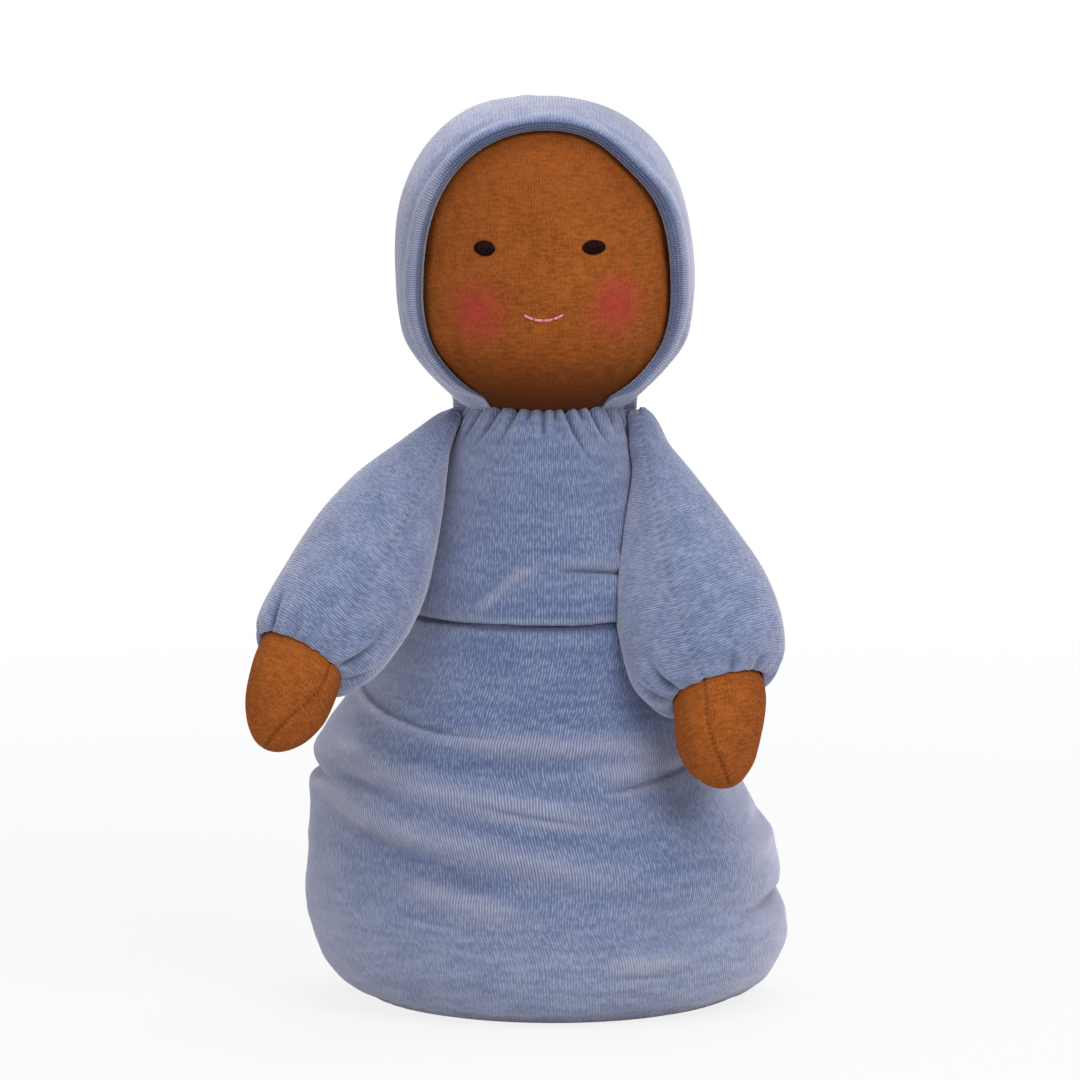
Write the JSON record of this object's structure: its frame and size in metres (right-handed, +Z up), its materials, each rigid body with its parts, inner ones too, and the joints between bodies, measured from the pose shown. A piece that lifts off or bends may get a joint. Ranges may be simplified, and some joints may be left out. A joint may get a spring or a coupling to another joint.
{
  "type": "waldorf doll",
  "caption": "Soft standing doll with a jersey face and hands, a hooded velour gown over a wide weighted base, and puffed sleeves on tied joints.",
  "frame": {"origin": "centre of the oval base panel, on the surface that the doll stands on", "axes": "+Z up through the crown, the doll faces -Y, and its own left arm is on +X"},
  "size_m": [0.2122, 0.1703, 0.3781],
  "materials": {
    "velour": "knitted cotton velour, grey blue, matt with a pale nap",
    "jersey": "fine cotton jersey, brown, matt",
    "wool": "carded sheep's wool filling",
    "gauze": "cotton tube gauze, undyed",
    "thread": "waxed linen tying thread",
    "pouch_cotton": "tight cotton cambric pouch filled with grain",
    "eye_yarn": "dark brown stranded embroidery thread, slight sheen",
    "mouth_yarn": "pink stranded embroidery thread"
  },
  "bodies": {
    "torso": {"gown_body": "velour", "gown_base": "velour", "body_wool": "wool", "grain_pouch": "pouch_cotton", "neck_stalk": "jersey", "neck_gather_thread": "thread"},
    "neck": {"neck_tie": "thread"},
    "head": {"head_wool": "wool", "head_gauze": "gauze", "eye_line_thread": "thread", "head_skin": "jersey", "left_eye": "eye_yarn", "right_eye": "eye_yarn", "mouth_stitch": "mouth_yarn", "hood": "velour", "hood_hem": "velour"},
    "right_shoulder": {"right_shoulder_knot": "thread"},
    "right_arm": {"right_sleeve": "velour", "right_arm_wool": "wool", "right_cuff_thread": "thread"},
    "right_hand": {"right_hand_skin": "jersey", "right_hand_wool": "wool"},
    "left_shoulder": {"left_shoulder_knot": "thread"},
    "left_arm": {"left_sleeve": "velour", "left_arm_wool": "wool", "left_cuff_thread": "thread"},
    "left_hand": {"left_hand_skin": "jersey", "left_hand_wool": "wool"}
  },
  "joints": [
    {"name": "head_nod", "type": "hinge", "parent": "torso", "child": "neck", "pos_m": [0, 0, 0.2455], "axis": [1, 0, 0], "range_deg": [-10, 12], "stiffness_Nm_per_rad": 0.6},
    {"name": "head_turn", "type": "hinge", "parent": "neck", "child": "head", "pos_m": [0, 0, 0.2455], "axis": [0, 0, 1], "range_deg": [-35, 35], "stiffness_Nm_per_rad": 0.15},
    {"name": "right_arm_raise", "type": "hinge", "parent": "torso", "child": "right_shoulder", "pos_m": [-0.04146, -0.004, 0.24], "axis": [0, 1, 0], "range_deg": [0, 60]},
    {"name": "right_arm_swing", "type": "hinge", "parent": "right_shoulder", "child": "right_arm", "pos_m": [-0.04146, -0.004, 0.24], "axis": [-1, 0, 0], "range_deg": [0, 42]},
    {"name": "right_wrist_bend", "type": "hinge", "parent": "right_arm", "child": "right_hand", "pos_m": [-0.09207, -0.0622, 0.15741], "axis": [-0.2691, 0.8572, -0.4391], "range_deg": [-15, 15], "stiffness_Nm_per_rad": 0.05},
    {"name": "left_arm_raise", "type": "hinge", "parent": "torso", "child": "left_shoulder", "pos_m": [0.04146, -0.004, 0.24], "axis": [0, -1, 0], "range_deg": [0, 70]},
    {"name": "left_arm_swing", "type": "hinge", "parent": "left_shoulder", "child": "left_arm", "pos_m": [0.04146, -0.004, 0.24], "axis": [-1, 0, 0], "range_deg": [0, 56]},
    {"name": "left_wrist_bend", "type": "hinge", "parent": "left_arm", "child": "left_hand", "pos_m": [0.0698, -0.05705, 0.14434], "axis": [0.1333, 0.8829, -0.4501], "range_deg": [-15, 15], "stiffness_Nm_per_rad": 0.05}
  ]
}
